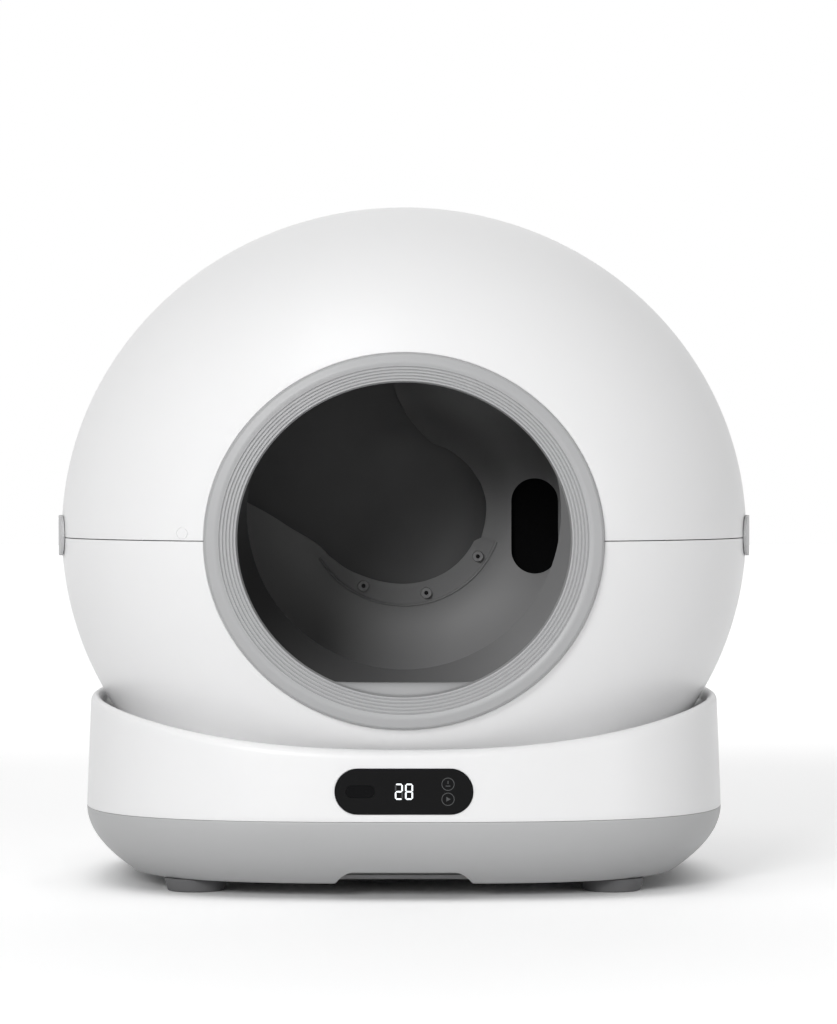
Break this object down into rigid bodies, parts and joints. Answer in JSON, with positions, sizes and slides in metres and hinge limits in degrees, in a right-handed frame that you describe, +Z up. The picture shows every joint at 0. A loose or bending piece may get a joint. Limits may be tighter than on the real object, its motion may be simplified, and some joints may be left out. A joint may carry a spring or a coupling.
{
  "type": "self cleaning litter box",
  "caption": "Free-standing automatic litter box: oval shell on a low base, oval entrance ring, geared inner drum that turns to empty itself, and a pull-out waste drawer.",
  "frame": {"origin": "on the floor, under the middle of the object's outer box", "axes": "+Z up, entrance and drawer face -Y, +X to the right seen from the front"},
  "size_m": [0.5246, 0.4738, 0.5065],
  "materials": {
    "white_shell": "satin moulded ABS",
    "grey_trim": "fine matt moulded plastic",
    "inner_grey": "matt moulded plastic",
    "black_gloss": "polished acrylic",
    "dark_window": "infra-red passing plastic",
    "foam": "black filter foam",
    "rubber": "soft matt",
    "nylon": "natural nylon",
    "steel": "zinc plated",
    "cast_metal": "die cast",
    "circuit_board": "solder mask"
  },
  "bodies": {
    "root": {"base_pan": "grey_trim", "base_housing": "white_shell", "lower_shell": "white_shell", "entry_bezel": "grey_trim", "foot_front_left": "rubber", "foot_front_right": "rubber", "foot_rear_left": "rubber", "foot_rear_right": "rubber", "load_cell_front_left": "cast_metal", "load_cell_front_right": "cast_metal", "load_cell_rear_left": "cast_metal", "load_cell_rear_right": "cast_metal", "base_screw_1": "steel", "base_screw_2": "steel", "base_screw_3": "steel", "base_screw_4": "steel", "control_lens": "black_gloss", "sensor_window": "dark_window", "display_module": "dark_window", "touch_contact_lower": "steel", "touch_contact_upper": "steel", "control_board": "circuit_board", "power_inlet": "dark_window", "gearbox": "cast_metal", "motor": "steel", "motor_bracket": "steel", "cradle_front": "inner_grey", "cradle_rear": "inner_grey", "roller_pin_front_left": "steel", "roller_pin_front_right": "steel", "roller_pin_rear_left": "steel", "roller_pin_rear_right": "steel"},
    "drum": {"drum_shell": "inner_grey", "drum_partition": "inner_grey", "odour_pad": "foam", "sieve_screen": "nylon", "drum_lip_seal": "rubber", "ring_gear": "nylon", "partition_screw_1": "steel", "partition_screw_2": "steel", "partition_screw_3": "steel", "gear_screw_1": "steel", "gear_screw_2": "steel", "gear_screw_3": "steel", "gear_screw_4": "steel"},
    "pinion": {"pinion": "nylon", "drive_shaft": "steel"},
    "drawer": {"waste_tray": "inner_grey", "drawer_fascia": "grey_trim", "bag_frame": "dark_window"},
    "upper_shell": {"upper_shell": "white_shell"},
    "latch_left": {"latch_left": "grey_trim"},
    "latch_right": {"latch_right": "grey_trim"},
    "roller_front_left": {"roller_front_left": "rubber"},
    "roller_front_right": {"roller_front_right": "rubber"},
    "roller_rear_left": {"roller_rear_left": "rubber"},
    "roller_rear_right": {"roller_rear_right": "rubber"}
  },
  "joints": [
    {"name": "drum_spin", "type": "hinge", "parent": "root", "child": "drum", "pos_m": [0, -0.01309, 0.276], "axis": [0, 1, 0], "range_deg": [-45, 200]},
    {"name": "pinion_spin", "type": "hinge", "parent": "root", "child": "pinion", "pos_m": [0, 0.14121, 0.132], "axis": [0, 1, 0], "range_deg": [-1000, 225]},
    {"name": "roller_spin_front_left", "type": "hinge", "parent": "root", "child": "roller_front_left", "pos_m": [-0.11408, -0.12809, 0.12998], "axis": [0, 1, 0], "range_deg": [-2450, 560]},
    {"name": "roller_spin_front_right", "type": "hinge", "parent": "root", "child": "roller_front_right", "pos_m": [0.11408, -0.12809, 0.12998], "axis": [0, 1, 0], "range_deg": [-2450, 560]},
    {"name": "roller_spin_rear_left", "type": "hinge", "parent": "root", "child": "roller_rear_left", "pos_m": [-0.11408, 0.10191, 0.12998], "axis": [0, 1, 0], "range_deg": [-2450, 560]},
    {"name": "roller_spin_rear_right", "type": "hinge", "parent": "root", "child": "roller_rear_right", "pos_m": [0.11408, 0.10191, 0.12998], "axis": [0, 1, 0], "range_deg": [-2450, 560]},
    {"name": "drawer_slide", "type": "slide", "parent": "root", "child": "drawer", "axis": [0, -1, 0], "range_m": [0, 0.3]},
    {"name": "upper_shell_lift", "type": "slide", "parent": "root", "child": "upper_shell", "axis": [0, 0, 1], "range_m": [0, 0.2]},
    {"name": "latch_left_swing", "type": "hinge", "parent": "root", "child": "latch_left", "pos_m": [-0.26, -0.01309, 0.241], "axis": [0, -1, 0], "range_deg": [0, 35]},
    {"name": "latch_right_swing", "type": "hinge", "parent": "root", "child": "latch_right", "pos_m": [0.26, -0.01309, 0.241], "axis": [0, 1, 0], "range_deg": [0, 35]}
  ],
  "couplings": [
    {"joint": "pinion_spin", "follows": "drum_spin", "ratio": -5},
    {"joint": "roller_spin_front_left", "follows": "drum_spin", "ratio": -12.214},
    {"joint": "roller_spin_front_right", "follows": "drum_spin", "ratio": -12.214},
    {"joint": "roller_spin_rear_left", "follows": "drum_spin", "ratio": -12.214},
    {"joint": "roller_spin_rear_right", "follows": "drum_spin", "ratio": -12.214}
  ]
}
